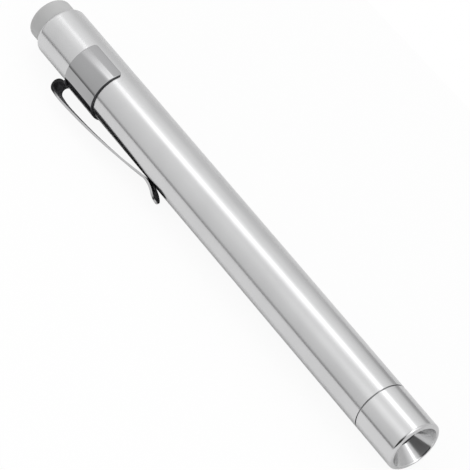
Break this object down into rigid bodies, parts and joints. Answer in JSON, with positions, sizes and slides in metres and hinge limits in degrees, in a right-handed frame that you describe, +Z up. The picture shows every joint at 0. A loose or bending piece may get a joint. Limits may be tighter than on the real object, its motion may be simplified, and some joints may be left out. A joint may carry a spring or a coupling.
{
  "type": "penlight",
  "caption": "Slim metal penlight with a screwed-on reflector head, tail push button and one-piece spring pocket clip.",
  "frame": {"origin": "on the ground, under the middle of the box round the penlight as it lies", "axes": "+X along the barrel towards the lamp, +Z up, clip on the -Y side"},
  "size_m": [0.14, 0.0166, 0.0137],
  "materials": {
    "barrel_metal": "polished drawn tube",
    "head_metal": "polished turned metal",
    "reflector_mirror": "bright spun mirror",
    "lamp_resin": "clear cast resin",
    "chip_phosphor": "yellow phosphor",
    "lead_tinned": "tinned",
    "holder_plastic": "moulded",
    "contact_brass": "turned",
    "can_steel": "nickel plated",
    "cell_filling": "pressed powder",
    "cell_jacket": "plain shrink film",
    "sleeve_card": "waxed card",
    "spring_wire": "drawn wire",
    "switch_plastic": "moulded nylon",
    "washer_steel": "stamped",
    "button_plastic": "fine satin",
    "clip_steel": "polished spring steel"
  },
  "bodies": {
    "barrel": {"barrel": "barrel_metal", "clip_band": "clip_steel", "cell_sleeve": "sleeve_card", "switch_body": "switch_plastic", "contact_rivet": "contact_brass", "earth_washer": "washer_steel", "return_spring": "spring_wire", "cell_spring": "spring_wire"},
    "button": {"push_button": "button_plastic", "contact_plunger": "contact_brass"},
    "clip_arm": {"clip_arm": "clip_steel"},
    "cells": {"front_cell_can": "can_steel", "front_cell_core": "cell_filling", "front_cell_jacket": "cell_jacket", "rear_cell_can": "can_steel", "rear_cell_core": "cell_filling", "rear_cell_jacket": "cell_jacket"},
    "head": {"head_shell": "head_metal", "reflector": "reflector_mirror", "lamp": "lamp_resin", "lamp_chip": "chip_phosphor", "anode_lead": "lead_tinned", "cathode_lead": "lead_tinned", "lamp_holder": "holder_plastic", "lamp_contact": "contact_brass"}
  },
  "joints": [
    {"name": "button_press", "type": "slide", "parent": "barrel", "child": "button", "axis": [1, 0, 0], "range_m": [0, 0.002], "stiffness_N_per_m": 700, "springref_m": -0.003, "deforming": ["return_spring"]},
    {"name": "clip_flex", "type": "hinge", "parent": "barrel", "child": "clip_arm", "pos_m": [-0.05475, -0.00544, 0.00303], "axis": [0, 0.4688, -0.8833], "range_deg": [0, 6], "stiffness_Nm_per_rad": 1.2, "springref_deg": -1.15},
    {"name": "cell_feed", "type": "slide", "parent": "barrel", "child": "cells", "axis": [1, 0, 0], "range_m": [0, 0.005], "deforming": ["cell_spring"]},
    {"name": "head_unscrew", "type": "hinge", "parent": "cells", "child": "head", "pos_m": [0.058, 0.0018, 0.00687], "axis": [1, 0, 0], "range_deg": [0, 1800]}
  ],
  "couplings": [
    {"joint": "head_unscrew", "follows": "cell_feed", "rad_per_m": 6283.2}
  ]
}
